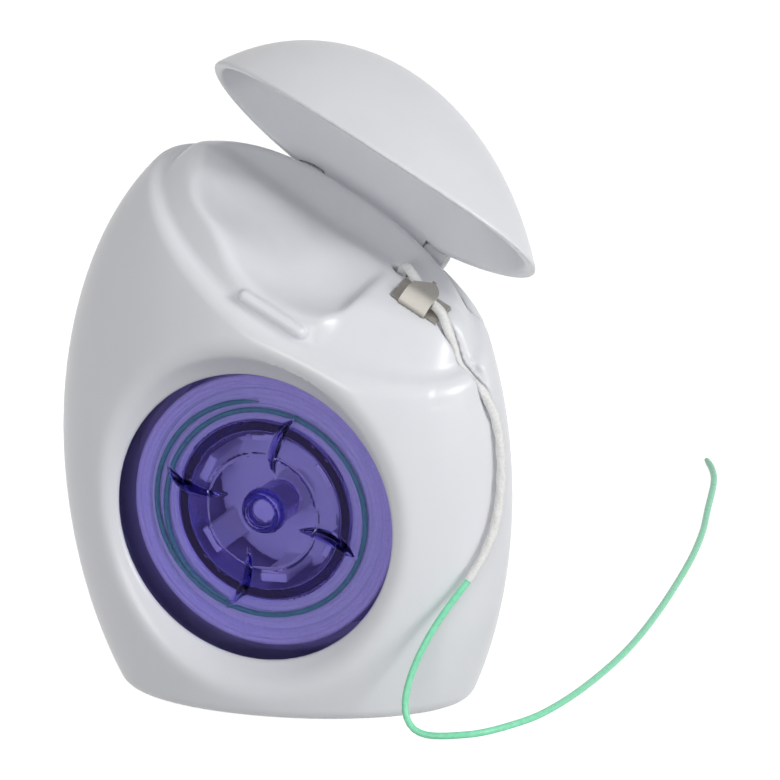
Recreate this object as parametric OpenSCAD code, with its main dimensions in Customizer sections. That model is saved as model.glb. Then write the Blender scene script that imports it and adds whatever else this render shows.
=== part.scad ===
// Dental floss dispenser: an egg shaped case with a round finger window, a clear spool that is
// turned through the window, an oblique flip lid over a cutter, and the loose end of the floss.
// The origin is the middle of the flat base, +Z is up and the window faces -Y.

/* [Case] */
// Half width of the egg at its widest level
case_half_w = 27.2; // [25:0.1:33]
// Half depth of the egg at its widest level
case_half_d = 15.4; // [14.6:0.1:19]
// Height of the widest level above the base
belly_z = 27.5; // [26:0.5:30]
// Height of the egg above its widest level
crown_h = 41.5; // [38:0.5:50]
// Depth that the egg would have below its widest level if the base did not cut it flat
root_h = 43; // [36:0.5:52]
// Wall of the front shell
front_wall = 1.4; // [1.2:0.05:1.7]
// Wall of the rear cover
rear_wall = 1.2; // [1:0.05:1.4]
// Thickness of the flat base
base_wall = 1.5; // [1.2:0.1:2.5]
// Distance of the parting plane behind the middle plane
parting_y = 5; // [4:0.1:6]
// How far the rear cover's tongue reaches into the front shell
tongue_l = 2; // [1.5:0.1:2.5]
// Thickness of that tongue
tongue_t = 0.8; // [0.6:0.05:1]

/* [Window] */
// Radius of the round finger window
window_r = 17; // [15.5:0.1:17.5]
// Height of the window's centre above the base
window_z = 23.6; // [23:0.1:25]
// Distance of the window's rim in front of the middle plane
window_y = 10; // [9.8:0.1:10.6]
// Radius of the hollow that leads into the window
dish_r = 26; // [23:0.5:32]

/* [Lid] */
// Place of the lid seam's middle, to the right of the case's middle
seam_x = 6.5; // [4:0.1:9]
// Height of the lid seam's middle
seam_z = 52.4; // [50:0.1:54]
// Slope of the seam down to the right
seam_slope = 29.6; // [24:0.1:34]
// Tilt of the seam down to the front
seam_tilt = 18.7; // [14:0.1:22]
// Radius of the seam's gentle arch from front to rear
seam_r = 55; // [48:1:80]
// Wall of the lid
lid_wall = 1.2; // [1:0.05:1.4]
// Clearance between the closed lid and the neck or seam
lid_gap = 0.3; // [0.25:0.05:0.4]
// Opening angle at which the lid is drawn
lid_open = 61; // [40:1:80]

/* [Hinge] */
// Length of the hinge
hinge_l = 20.6; // [16:0.1:22]
// Length of each of the case's two hinge lugs
lug_l = 3; // [2.5:0.1:4]
// Radius of the hinge knuckles
knuckle_r = 1.3; // [1.2:0.05:1.5]
// Radius of the lid's trunnions
trunnion_r = 0.7; // [0.6:0.05:0.8]
// Radial running clearance of turning fits
fit_gap = 0.05; // [0.03:0.01:0.08]

/* [Deck] */
// Thickness of the deck under the seam
deck_t = 2; // [1.6:0.1:2.6]
// Height of the neck's front ridge and cutter seat above the seam
neck_h = 2.7; // [2.2:0.1:3]
// Height of the neck's rear shelf above the seam
shelf_h = 2.1; // [1.2:0.1:2.2]
// Length of the latch rib
latch_l = 7.6; // [6:0.1:9]
// Radius of the latch rib
latch_r = 0.7; // [0.5:0.05:0.8]

/* [Cutter] */
// Length of the cutter plate
plate_l = 6.2; // [5:0.1:6.6]
// Width of the cutter plate
plate_w = 3.6; // [3:0.1:4]
// Thickness of the sheet steel
plate_t = 0.3; // [0.2:0.05:0.4]
// Width of the cutter's folded tab
tab_w = 3.6; // [2.6:0.1:4]

/* [Spool] */
// Radius of the spool's front flange beyond the window's radius
flange_lap = 1.3; // [1:0.1:1.6]
// Thickness of the spool's flanges
flange_t = 1; // [0.8:0.05:1.2]
// Distance between the two flanges
spool_w = 13.3; // [12:0.1:14]
// Outer radius of the core tube
core_r = 10.5; // [9:0.1:11]
// Wall of the core tube
core_wall = 0.9; // [0.7:0.05:1.2]
// Radius of the wound floss
pack_r = 16; // [15:0.1:16.4]
// Radius of the fixed pin that the spool turns on
pin_r = 1.5; // [1.2:0.05:1.8]
// Length of the fixed pin inside the spool's hub
pin_l = 5; // [4:0.1:6]
// Wall of the spool's hub
hub_wall = 0.9; // [0.7:0.05:1.2]
// Height of the finger fins
fin_h = 1.8; // [1.2:0.1:2.4]

/* [Floss] */
// Diameter of the soft floss
floss_d = 1.1; // [1:0.05:1.2]
// Diameter of the stiff threader
threader_d = 0.8; // [0.7:0.05:0.9]
// Pitch of the outer winding
wind_pitch = 1.6; // [1.55:0.05:1.8]

/* [Hidden] */
$fn = 64;
far = 200;
touch = 0.05;

white = [0.93, 0.94, 0.96];
clear_purple = [0.36, 0.30, 0.72, 0.55];
steel = [0.63, 0.60, 0.57];
floss_white = [0.97, 0.97, 0.96];
threader_green = [0.35, 0.72, 0.52];

// The seam's own frame: u runs along it down to the right, v to the rear and up, n out of it.
seam_mid = [seam_x, 0, seam_z];
axis_u = [cos(seam_slope), 0, -sin(seam_slope)];
rise = [sin(seam_slope), 0, cos(seam_slope)];
axis_v = cos(seam_tilt) * [0, 1, 0] + sin(seam_tilt) * rise;
axis_n = -sin(seam_tilt) * [0, 1, 0] + cos(seam_tilt) * rise;
function from_seam(p) = seam_mid + p.x * axis_u + p.y * axis_v + p.z * axis_n;
module in_seam_frame() translate(seam_mid) rotate([0, seam_slope, 0]) rotate([seam_tilt, 0, 0]) children();

// Distance from a point inside the egg's upper half to its surface, along a direction.
function egg_scale(p, inset) =
    [p.x / (case_half_w - inset), p.y / (case_half_d - inset), p.z / (crown_h - inset)];
function ray_root(a, b) = (-(a * b) + sqrt((a * b) * (a * b) - (b * b) * (a * a - 1))) / (b * b);
function egg_reach(p, dir, inset = 0) =
    ray_root(egg_scale(p - [0, 0, belly_z], inset), egg_scale(dir, inset));

// Lid and hinge
function seam_drop(v) = seam_r - sqrt(seam_r * seam_r - v * v);
neck_inset = lid_wall + lid_gap;
rim_back = egg_reach(seam_mid, axis_v);
hinge_v = rim_back - knuckle_r / 2;
hinge_n = -seam_drop(hinge_v);
knuckle_l = hinge_l - 2 * lug_l - lid_gap;
trunnion_l = lug_l - lid_gap;
lug_root_l = 4;
lug_root_h = knuckle_r + 0.25;

// Latch rib, which lies on the ledge against the neck's front
latch_n = latch_r - seam_drop(rim_back) - touch;
latch_u = -0.1;
latch_room = 1.3;
pocket_depth = 0.7;
latch_v = -egg_reach(from_seam([latch_u, 0, latch_n]), -axis_v, neck_inset);

// Window and spool, as distances behind the middle plane
dish_y = -window_y - sqrt(dish_r * dish_r - window_r * window_r);
lip_back = dish_y + sqrt((dish_r + front_wall) * (dish_r + front_wall) - window_r * window_r);
bore_edge = 0.25;
bore_flare = 0.8;
spool_r = window_r + flange_lap;
flange_front = lip_back + lid_gap;
flange_back = flange_front + flange_t;
back_flange = flange_back + spool_w;
back_flange_r = pack_r + 1.6;
hub_r = pin_r + fit_gap + hub_wall;
pin_tip = flange_front + flange_t + touch * 4;
shoulder_y = pin_tip + pin_l;
crown_y = shoulder_y + 3.8;
crown_r = core_r - core_wall - 0.3;
crown_t = 1.2;
prongs = 6;
prong_angle = 31;
prong_w = 3.3;
prong_t = 1.1;
prong_y = pin_tip + 1.2;
legs = 3;
post_r = hub_r;
fins = 4;
fin_angle = 67;
fin_inner = 4.8;
fin_outer = 12.6;
fin_bow = 1.7;
fin_hollow = 0.6;
hub_ring_r = 2.3;

// Wound floss: a plain core under one helical outer layer
turns_d = 0.7;
turns_room = turns_d + 4 * touch;
pack_front = flange_back + turns_room;
pack_back = back_flange - touch;
wind_r = pack_r - floss_d / 2;
plain_r = wind_r - floss_d / 2 - touch;
wind_loops = floor((pack_back - pack_front - floss_d) / wind_pitch);
wind_l = wind_loops * wind_pitch;
rings_per_loop = 24;
tube_sides = 6;
turns = 1.4;
turns_r0 = 11.9;
turns_r1 = 13.6;
turns_a0 = 91;
turns_rings = ceil(turns * rings_per_loop);

// Deck scoop, cutter seat and the floss's way over the neck, in the seam's frame: the scoop is three
// hollows that run into each other, each with its centre and its half axes.
scoops = [[[-8.5, -4.6, 5.3], [8.3, 4.2, 4.2]], [[-1.5, -8.6, 4.6], [9, 6.6, 4.6]],
    [[4, -4.5, 4.8], [5.5, 5.2, 4]]];
ridge_v = 1.6;
shelf_v = 3.6;
horn_u = -3;
horn_rise = 4;
slope_at = [7, -6.3];
slope_tilt = 32;
slope_yaw = 12.2;
plate_u = 9.2;
plate_v = -2.6;
plate_n = neck_h;
seat_edge_u = plate_u - 2.9;
tab_u = 1.2;
tab_lift = floss_d + 0.35;
tab_fold = 0.35;
tab_reach = 4;
exit_hole = [8.1, 2.4];
exit_r = 1.1;
way_y = -2.2;
way_w = 1.9;
way_outline = [[20.9, 50], [20.9, 46], [21.4, 44.5], [21.6, 43.2], [21.9, 41.8], [22.5, 40.3],
    [23.5, 39.2], [24.5, 38.2], [25.3, 37], [25.9, 35.6], [26.4, 34.2], [32, 34.2], [32, 50]];
boss_at = [20.4, -4.4, 34];
boss_size = [8, 4.4, 9];
groove_at = [21.2, -4.6, 41];
groove_size = [0.9, 6, 7];
notch_at = [21.9, -12, 37.6];
notch_size = [2.1, 10, 5];
notch_depth = 0.5;
cord_sides = 8;

module half_egg(inset, height) {
    intersection() {
        scale([case_half_w - inset, case_half_d - inset, abs(height) - inset]) sphere(1);
        translate([-far / 2, -far / 2, height > 0 ? 0 : -far]) cube(far);
    }
}

module egg(inset = 0) {
    translate([0, 0, belly_z]) {
        half_egg(inset, crown_h);
        half_egg(inset, -root_h);
    }
}

module above_base(z = 0) translate([-far / 2, -far / 2, z]) cube(far);
module before(y) translate([-far / 2, y - far, -far / 2]) cube(far);
module behind(y) translate([-far / 2, y, -far / 2]) cube(far);
module along_y(r, y0, y1) {
    translate([0, y0, window_z]) rotate([-90, 0, 0]) cylinder(r = r, h = y1 - y0);
}

// Everything below the arched seam, raised by lift
module below_seam(lift = 0) {
    in_seam_frame() translate([0, 0, -seam_r]) rotate([0, 90, 0])
        cylinder(r = seam_r + lift, h = far, center = true, $fn = 360);
}

module dish(inset = 0) translate([0, dish_y, window_z]) sphere(dish_r + inset, $fn = 128);

// A bar along the seam's u direction with the outline of its children in the v-n plane
module seam_bar(u0, u1) {
    in_seam_frame() translate([u0, 0, 0]) rotate([90, 0, 90]) linear_extrude(u1 - u0) children();
}

module hinge_cylinder(r, u0, u1) {
    in_seam_frame() translate([u0, hinge_v, hinge_n]) rotate([0, 90, 0]) cylinder(r = r, h = u1 - u0);
}

module neck_outline(height) {
    polygon([[-far / 4, height], [ridge_v, height], [shelf_v, shelf_h], [far / 4, shelf_h],
        [far / 4, -far / 8], [-far / 4, -far / 8]]);
}

// The neck's top, whose left end rises to a low horn
module neck_top() {
    seam_bar(-far / 4, far / 4) neck_outline(neck_h);
    intersection() {
        seam_bar(-far / 4, horn_u) neck_outline(far / 20);
        in_seam_frame() translate([horn_u, 0, neck_h]) rotate([0, horn_rise, 0])
            translate([-far, -far / 2, -far]) cube(far);
    }
}

// The scoop of the deck to the left of the cutter seat
module deck_hollow() {
    intersection() {
        in_seam_frame()
            for (hollow = scoops) translate(hollow[0]) scale(hollow[1]) sphere(1);
        seam_bar(-far / 4, seat_edge_u) square(far / 2, center = true);
    }
}

// What the slope in front of the cutter seat takes off the neck
module seat_slope() {
    intersection() {
        in_seam_frame() translate([slope_at.x, slope_at.y, neck_h]) rotate([slope_tilt, slope_yaw, 0])
            translate([-far / 8, -far / 8, 0]) cube(far / 4);
        seam_bar(seat_edge_u - touch, far / 4) square(far / 2, center = true);
        below_seam(far / 20);
    }
}

// Deck plate and neck, which close the top of the case
module deck() {
    difference() {
        intersection() {
            egg(rear_wall + 2 * touch);
            below_seam();
        }
        below_seam(-deck_t);
    }
    difference() {
        intersection() {
            egg(neck_inset);
            neck_top();
        }
        below_seam(-deck_t);
        difference() {
            seat_slope();
            below_seam();
        }
    }
    in_seam_frame() {
        translate([latch_u - latch_l / 2, latch_v, latch_n]) rotate([0, 90, 0]) {
            cylinder(r = latch_r, h = latch_l);
            sphere(latch_r);
            translate([0, 0, latch_l]) sphere(latch_r);
        }
    }
}

// Root of a hinge lug, which passes through the rear cover's edge with some room round it
module lug_root(u0, room) {
    seam_bar(u0 - room, u0 + lug_l + room)
        translate([hinge_v - lug_root_l - room, hinge_n - knuckle_r - room])
            square([lug_root_l + 2 * room, lug_root_h + 2 * room]);
}

module lugs() {
    for (side = [-1, 1]) {
        u0 = side < 0 ? -hinge_l / 2 : hinge_l / 2 - lug_l;
        difference() {
            union() {
                hinge_cylinder(knuckle_r, u0, u0 + lug_l);
                lug_root(u0, 0);
            }
            hinge_cylinder(trunnion_r + fit_gap, u0 - 1, u0 + lug_l + 1);
        }
    }
}

// Way of the floss from the cutter down the neck and out under the lid's rim
module floss_way() {
    translate([0, way_y + way_w / 2, 0]) rotate([90, 0, 0]) linear_extrude(way_w) polygon(way_outline);
}

// Thicker wall behind the floss's way
module way_boss() {
    intersection() {
        egg(front_wall / 2);
        below_seam(-deck_t / 2);
        translate(boss_at) cube(boss_size);
    }
}

// Narrow groove down the neck's front beside the cutter, and the shallow notch below it
module front_groove() translate(groove_at) rotate([-seam_tilt, 0, 0])
    translate([0, -groove_size.y, 0]) cube(groove_size);
module front_notch() difference() {
    translate(notch_at) cube(notch_size);
    egg(notch_depth);
}

// The window's bore, which widens behind a narrow front edge
module window_bore() {
    along_y(window_r, -far / 2, -window_y + bore_edge);
    translate([0, -window_y + bore_edge, window_z]) rotate([-90, 0, 0])
        cylinder(r1 = window_r, r2 = window_r + bore_flare, h = lip_back + window_y - bore_edge);
    along_y(window_r + bore_flare, lip_back, parting_y);
}

module front_shell() color(white) difference() {
    union() {
        difference() {
            intersection() {
                egg();
                above_base();
                before(parting_y);
                below_seam();
            }
            dish();
            difference() {
                intersection() {
                    egg(front_wall);
                    above_base(base_wall);
                }
                dish(front_wall);
            }
        }
        difference() {
            deck();
            deck_hollow();
        }
        lugs();
        way_boss();
    }
    window_bore();
    hinge_cylinder(knuckle_r + lid_gap, -knuckle_l / 2 - lid_gap / 2, knuckle_l / 2 + lid_gap / 2);
    in_seam_frame() translate([exit_hole.x, exit_hole.y, -far / 8]) cylinder(r = exit_r, h = far / 4);
    in_seam_frame() translate([plate_u, plate_v, plate_n - plate_t]) {
        cube([plate_l, plate_w, far / 8]);
        translate([tab_u, -plate_t, 0]) cube([tab_w, plate_w, far / 8]);
    }
    floss_way();
    front_groove();
    front_notch();
}

// The crown inside the spool: a disc on a post, with prongs that reach forward and legs to the rear wall
module crown() {
    along_y(pin_r, pin_tip, shoulder_y + 1);
    along_y(post_r, shoulder_y, case_half_d - rear_wall / 2);
    along_y(crown_r, crown_y, crown_y + crown_t);
    for (i = [0:prongs - 1])
        translate([0, 0, window_z]) rotate([0, -prong_angle - i * 360 / prongs, 0])
            translate([crown_r - 0.3 - prong_t, prong_y, -prong_w / 2])
                cube([prong_t, crown_y + crown_t / 2 - prong_y, prong_w]);
    intersection() {
        for (i = [0:legs - 1])
            translate([0, 0, window_z]) rotate([0, -prong_angle - i * 360 / legs, 0])
                translate([0, crown_y + crown_t / 2, -crown_t / 2]) cube([crown_r - 2, far / 10, crown_t]);
        egg(rear_wall / 2);
    }
}

module rear_cover() color(white) difference() {
    union() {
        difference() {
            intersection() {
                egg();
                above_base();
                behind(parting_y);
                below_seam();
            }
            intersection() {
                egg(rear_wall);
                above_base(base_wall);
            }
        }
        difference() {
            intersection() {
                union() {
                    intersection() {
                        egg(front_wall + 2 * touch);
                        above_base(base_wall + 2 * touch);
                        behind(parting_y - tongue_l);
                    }
                    intersection() {
                        egg(rear_wall / 2);
                        above_base(base_wall / 2);
                        behind(parting_y);
                    }
                }
                before(parting_y + tongue_l);
                below_seam(-deck_t - lid_gap);
            }
            intersection() {
                egg(front_wall + tongue_t);
                above_base(base_wall + tongue_t);
            }
        }
        crown();
    }
    hinge_cylinder(knuckle_r + lid_gap, -hinge_l / 2 - lid_gap, hinge_l / 2 + lid_gap);
    for (u0 = [-hinge_l / 2, hinge_l / 2 - lug_l])
        lug_root(u0, lid_gap / 2);
}

module closed_lid() {
    difference() {
        egg();
        below_seam(touch * 2);
        egg(lid_wall);
        latch_pocket();
        for (side = [-1, 1])
            hinge_cylinder(knuckle_r + lid_gap,
                side < 0 ? -hinge_l / 2 - lid_gap : knuckle_l / 2,
                side < 0 ? -knuckle_l / 2 : hinge_l / 2 + lid_gap);
    }
    hinge_cylinder(knuckle_r, -knuckle_l / 2, knuckle_l / 2);
    hinge_cylinder(trunnion_r, -knuckle_l / 2 - trunnion_l, knuckle_l / 2 + trunnion_l);
}

module latch_pocket() {
    intersection() {
        egg(lid_wall - pocket_depth);
        in_seam_frame() translate([latch_u - latch_l / 2 - latch_room, latch_v - far / 8, -latch_room])
            cube([latch_l + 2 * latch_room, far / 8 + latch_room, latch_n + latch_r + 2 * latch_room]);
    }
}

module about_hinge(angle) {
    in_seam_frame() translate([0, hinge_v, hinge_n]) rotate([-angle, 0, 0])
        translate([0, -hinge_v, -hinge_n]) rotate([-seam_tilt, 0, 0]) rotate([0, -seam_slope, 0])
            translate(-seam_mid) children();
}

module lid() color(white) about_hinge(lid_open) closed_lid();

// The tab's bent strip from the side: up in front, a slope over the fold, then level over the floss
module tab_side() {
    low = plate_t + tab_fold;
    high = plate_t + tab_lift;
    slope_l = tab_lift - tab_fold;
    polygon([[0, 0], [0, low], [slope_l, high], [tab_reach, high], [tab_reach, high + plate_t],
        [slope_l - plate_t / 2, high + plate_t], [-plate_t, low + plate_t / 2], [-plate_t, 0]]);
}

module cutter() color(steel) in_seam_frame() translate([plate_u, plate_v, plate_n - plate_t]) {
    cube([plate_l, plate_w, plate_t]);
    intersection() {
        translate([tab_u, 0, 0]) rotate([90, 0, 90]) linear_extrude(tab_w) tab_side();
        translate([tab_u, -plate_t, 0])
            linear_extrude(far / 20) polygon([[0, 0], [tab_w, 0], [tab_w, 2.6], [tab_w - 0.7, 3.7],
                [tab_w - 1.6, tab_reach], [0.2, 2.4]]);
    }
}

module fin() {
    mid = (fin_inner + fin_outer) / 2;
    half = (fin_outer - fin_inner) / 2;
    outer_r = (half * half + fin_bow * fin_bow) / (2 * fin_bow);
    inner_r = (half * half + fin_hollow * fin_hollow) / (2 * fin_hollow);
    difference() {
        translate([mid, fin_bow - outer_r]) circle(outer_r);
        translate([mid, fin_hollow - inner_r]) circle(inner_r, $fn = 256);
        translate([0, -far / 2]) square([far, far / 2]);
    }
}

module spool_front() color(clear_purple) difference() {
    union() {
        along_y(spool_r, flange_front, flange_back);
        difference() {
            along_y(core_r, flange_front, back_flange);
            along_y(core_r - core_wall, flange_back, back_flange + 1);
        }
        along_y(hub_r, flange_front, shoulder_y - lid_gap);
        along_y(hub_ring_r, flange_front - 0.4, flange_back);
        translate([0, flange_front + touch, window_z]) rotate([90, 0, 0])
            for (i = [0:fins - 1])
                rotate(fin_angle + i * 360 / fins) linear_extrude(fin_h) fin();
    }
    along_y(pin_r + fit_gap, flange_back, far);
    along_y(hub_ring_r - 0.5, flange_front - 1, flange_front - 0.1);
}

module spool_back() color(clear_purple) difference() {
    along_y(back_flange_r, back_flange, back_flange + flange_t);
    along_y(core_r - core_wall, back_flange - 1, back_flange + flange_t + 1);
}

// A tube of one radius along a list of points, closed at both ends
function unit(v) = v / norm(v);
function tangent(pts, i) = unit(pts[min(i + 1, len(pts) - 1)] - pts[max(i - 1, 0)]);
function first_side(t) = unit(cross(t, abs(t.z) < 0.9 ? [0, 0, 1] : [1, 0, 0]));
function carried(side, t) = unit(side - (side * t) * t);
function sides_along(pts, i, side, out) =
    i == len(pts) ? out : let (s = carried(side, tangent(pts, i)))
        sides_along(pts, i + 1, s, concat(out, [s]));
module tube(pts, r, sides) {
    n = len(pts);
    side = sides_along(pts, 0, first_side(tangent(pts, 0)), []);
    rings = [for (i = [0:n - 1]) for (k = [0:sides - 1])
        let (a = k * 360 / sides) pts[i] + r * (cos(a) * side[i] + sin(a) * cross(tangent(pts, i), side[i]))];
    walls = [for (i = [0:n - 2]) for (k = [0:sides - 1]) let (j = (k + 1) % sides) each [
        [i * sides + k, (i + 1) * sides + k, (i + 1) * sides + j],
        [i * sides + k, (i + 1) * sides + j, i * sides + j]]];
    caps = [[for (k = [0:sides - 1]) k], [for (k = [sides - 1:-1:0]) (n - 1) * sides + k]];
    polyhedron(points = rings, faces = concat(walls, caps), convexity = 10);
}

// Both ends of a winding run straight on for one diameter.
function with_ends(pts, d) = let (n = len(pts)) concat([pts[0] - d * unit(pts[1] - pts[0])], pts,
    [pts[n - 1] + d * unit(pts[n - 1] - pts[n - 2])]);
wind_loop_line = [for (k = [0:wind_loops * rings_per_loop]) let (a = k * 360 / rings_per_loop)
    [wind_r * cos(a), pack_front + (pack_back - pack_front - wind_l) / 2 + wind_pitch * a / 360,
        window_z + wind_r * sin(a)]];
wind_line = with_ends(wind_loop_line, floss_d);

module floss_winding() color(floss_white) {
    difference() {
        along_y(plain_r, pack_front, pack_back);
        along_y(core_r + touch, pack_front - 1, pack_back + 1);
    }
    tube(wind_line, floss_d / 2, tube_sides);
}

// The threader's turns lie as a flat spiral between the flange and the wound floss, from its outer end.
turns_loop_line = [for (k = [0:turns_rings]) let (f = k / turns_rings, a = turns_a0 + f * turns * 360,
    r = turns_r1 - (turns_r1 - turns_r0) * f)
    [r * cos(a), flange_back + turns_room / 2, window_z + r * sin(a)]];
turns_line = with_ends(turns_loop_line, turns_d);
module threader_turns() color(threader_green) tube(turns_line, turns_d / 2, tube_sides);

// Least distance between points of a winding that are at least three quarters of a turn apart
function least_gap(pts, d) = min([for (i = [0:len(pts) - 1])
    for (j = [i + rings_per_loop * 3 / 4:1:len(pts) - 1]) norm(pts[i] - pts[j])]) - d;
echo(winding_gap = least_gap(wind_line, floss_d), turns_gap = least_gap(turns_line, turns_d));

// The floss inside the case, from the winding up through the deck and under the cutter's tab
feed_route = [[16.9, 0.9, 24], [16.8, 1, 27.5], [16.2, 1.3, 32], [15.2, 1.8, 37], [13.9, 2.5, 41.5],
    [12.6, 3.1, 44.8], [12.9, 2.8, 47], [13.7, 2.3, 48.8], [14.5, 1.8, 50.1], [15.2, 1.3, 51.1],
    [16, 0.7, 51.4], [16.7, 0.1, 50.9], [17.4, -0.3, 50.2], [18.4, -0.9, 49.4], [19.4, -1.6, 48.6],
    [20.3, -2.1, 47.9]];
// The free floss from the cutter over the neck, out under the rim, down the side and off the belly
tail_route = [[20.3, -2.1, 47.9], [21.3, -2.4, 47.1], [21.7, -2.4, 45.8], [22.1, -2.3, 44.5],
    [22.4, -2.2, 43.2], [22.7, -2.2, 41.9], [23.2, -2.2, 40.8], [24.1, -2.1, 39.7], [25.2, -2, 38.6],
    [26.1, -1.9, 37.3], [26.8, -1.9, 35.8], [27.3, -2, 34], [27.6, -2.1, 31.5], [27.7, -2.4, 29],
    [27.6, -2.9, 26], [27.2, -3.8, 22.8], [26.3, -5.2, 19.8], [24.9, -7, 17]];
// The stiff threader from the end of the soft floss down to the ground and along it
threader_route = [[24.9, -7, 17], [23.2, -8.7, 14.5], [21.6, -10.3, 11.8], [20.3, -11.6, 9],
    [19.5, -12.7, 6.4], [19.2, -13.5, 4.2], [19.5, -14, 2.4], [20.4, -14.1, 1.1], [21.8, -13.9, 0.5],
    [23.5, -13.6, 0.4], [25.4, -12.8, 0.4], [27.5, -11.3, 0.4], [29.6, -8, 0.4], [31.4, -3.4, 0.4],
    [32.3, 3.8, 0.4], [32.4, 12.5, 0.4], [31.9, 21.8, 0.4], [30.6, 32, 0.4], [28.6, 43.6, 0.4],
    [25.8, 57.2, 0.4], [23, 68, 0.4], [20.2, 76.7, 0.4], [16.8, 87.2, 0.4], [14.6, 92.3, 0.4],
    [12.4, 96, 0.4]];

// A smooth curve through a route's points, with a ring about every step along it
function route_at(r, i, t) = let (a = r[max(i - 1, 0)], b = r[i], c = r[i + 1], d = r[min(i + 2, len(r) - 1)])
    0.5 * (2 * b + (c - a) * t + (2 * a - 5 * b + 4 * c - d) * t * t + (3 * b - 3 * c + d - a) * t * t * t);
function smooth(r, step) = concat(
    [for (i = [0:len(r) - 2]) let (n = max(1, round(norm(r[i + 1] - r[i]) / step))) for (k = [0:n - 1])
        route_at(r, i, k / n)], [r[len(r) - 1]]);
function run_length(pts) = len(pts) < 2 ? 0 :
    [for (i = 1, total = norm(pts[1] - pts[0]); i < len(pts); i = i + 1,
        total = i < len(pts) ? total + norm(pts[i] - pts[i - 1]) : total) total][len(pts) - 2];
feed_line = smooth(feed_route, 3 * floss_d);
tail_line = smooth(tail_route, 3 * floss_d);
threader_line = smooth(threader_route, 4 * threader_d);
echo(tail_length = run_length(tail_line), threader_length = run_length(threader_line),
    rings = len(feed_line) + len(tail_line) + len(threader_line));

module floss_feed() color(floss_white) tube(feed_line, floss_d / 2, cord_sides);
module floss_tail() color(floss_white) tube(tail_line, floss_d / 2, cord_sides);
module threader() color(threader_green) tube(threader_line, threader_d / 2, cord_sides);

front_shell();
rear_cover();
lid();
cutter();
spool_front();
spool_back();
floss_winding();
threader_turns();
floss_feed();
floss_tail();
threader();
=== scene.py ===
"""Looks of the dental floss dispenser: moulded shells, clear spool, wound floss, cutter and free floss.

Shapes are worked out in millimetres and turned into metres when a mesh is made. Moulded pieces are
solids given by a distance, negative inside, from which a smooth skin is taken."""

import math

import bpy
import numpy as np
from mathutils import Matrix, Vector


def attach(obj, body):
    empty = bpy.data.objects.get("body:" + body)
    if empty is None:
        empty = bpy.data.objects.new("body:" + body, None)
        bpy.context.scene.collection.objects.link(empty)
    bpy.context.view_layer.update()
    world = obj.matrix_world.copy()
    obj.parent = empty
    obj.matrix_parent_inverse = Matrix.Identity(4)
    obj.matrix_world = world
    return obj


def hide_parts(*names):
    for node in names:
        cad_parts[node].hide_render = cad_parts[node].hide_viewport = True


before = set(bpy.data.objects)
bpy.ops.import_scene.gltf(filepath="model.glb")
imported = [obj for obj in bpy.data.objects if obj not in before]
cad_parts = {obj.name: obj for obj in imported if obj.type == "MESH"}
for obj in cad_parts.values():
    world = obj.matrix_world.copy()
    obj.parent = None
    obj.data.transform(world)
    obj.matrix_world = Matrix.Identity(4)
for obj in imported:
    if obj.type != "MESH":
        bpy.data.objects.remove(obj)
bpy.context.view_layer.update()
MM = 0.001

# Camera: azimuth, elevation and roll, distance in mm, and where the point AIM shows in the picture
AZ, EL, ROLL = math.radians(24.03), math.radians(16.43), math.radians(-2.91)
DIST, PX_PER_MM, AIM_PX, AIM = 1800.0, 8.7167, (286.1, 439.62), Vector((0, 0, 30))
SIDE = 780

# Sizes in mm, as in the CAD
HALF_W, HALF_D, BELLY, CROWN, ROOT = 27.2, 15.4, 27.5, 41.5, 43.0
FRONT_WALL, REAR_WALL, BASE_WALL, PARTING = 1.4, 1.2, 1.5, 5.0
WIN_R, WIN_Z, WIN_Y, DISH_R = 17.0, 23.6, 10.0, 26.0
SEAM_R, LID_WALL, LID_GAP, LID_OPEN = 55.0, 1.2, 0.3, math.radians(61)
SLOPE, TILT = math.radians(29.6), math.radians(18.7)
SEAM_MID = np.array([6.5, 0, 52.4])
AX_U = np.array([math.cos(SLOPE), 0, -math.sin(SLOPE)])
RISE = np.array([math.sin(SLOPE), 0, math.cos(SLOPE)])
AX_V = math.cos(TILT) * np.array([0, 1, 0]) + math.sin(TILT) * RISE
AX_N = -math.sin(TILT) * np.array([0, 1, 0]) + math.cos(TILT) * RISE
HINGE_V, HINGE_N, HINGE_L, LUG_L, KNUCKLE_R, TRUNNION_R = 10.3113, -0.97521, 20.6, 3.0, 1.3, 0.7
KNUCKLE_L = HINGE_L - 2 * LUG_L - LID_GAP
FIT = 0.05
NECK_IN, DECK_T, NECK_H, SHELF_H = LID_WALL + LID_GAP, 2.0, 2.7, 2.1
LATCH_U, LATCH_L, LATCH_R, LATCH_V, LATCH_N = -0.1, 7.6, 0.7, -12.42, -0.453
PLATE_U, PLATE_V, PLATE_L, PLATE_W, PLATE_T = 9.2, -2.6, 6.2, 3.6, 0.3
TAB_U, TAB_W, TAB_LIFT, TAB_FOLD = 1.2, 3.6, 1.45, 0.35
EXIT_HOLE, EXIT_R = (8.1, 2.4), 1.1
DISH_Y = -WIN_Y - math.sqrt(DISH_R**2 - WIN_R**2)
LIP_BACK = DISH_Y + math.sqrt((DISH_R + FRONT_WALL) ** 2 - WIN_R**2)
FLANGE_T, SPOOL_W, CORE_R, CORE_WALL, PACK_R = 1.0, 13.3, 10.5, 0.9, 16.0
BORE_EDGE, BORE_FLARE = 0.25, 0.8
SPOOL_R = WIN_R + 1.3
FLANGE_FRONT = LIP_BACK + LID_GAP
FLANGE_BACK = FLANGE_FRONT + FLANGE_T
BACK_FLANGE = FLANGE_BACK + SPOOL_W
PIN_R, HUB_R, HUB_RING_R, FIN_H = 1.5, 2.45, 2.3, 1.8
PIN_TIP = FLANGE_BACK + 0.2
SHOULDER_Y = PIN_TIP + 5
DISC_Y, DISC_R, DISC_T = SHOULDER_Y + 3.8, CORE_R - CORE_WALL - 0.3, 1.2
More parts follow.
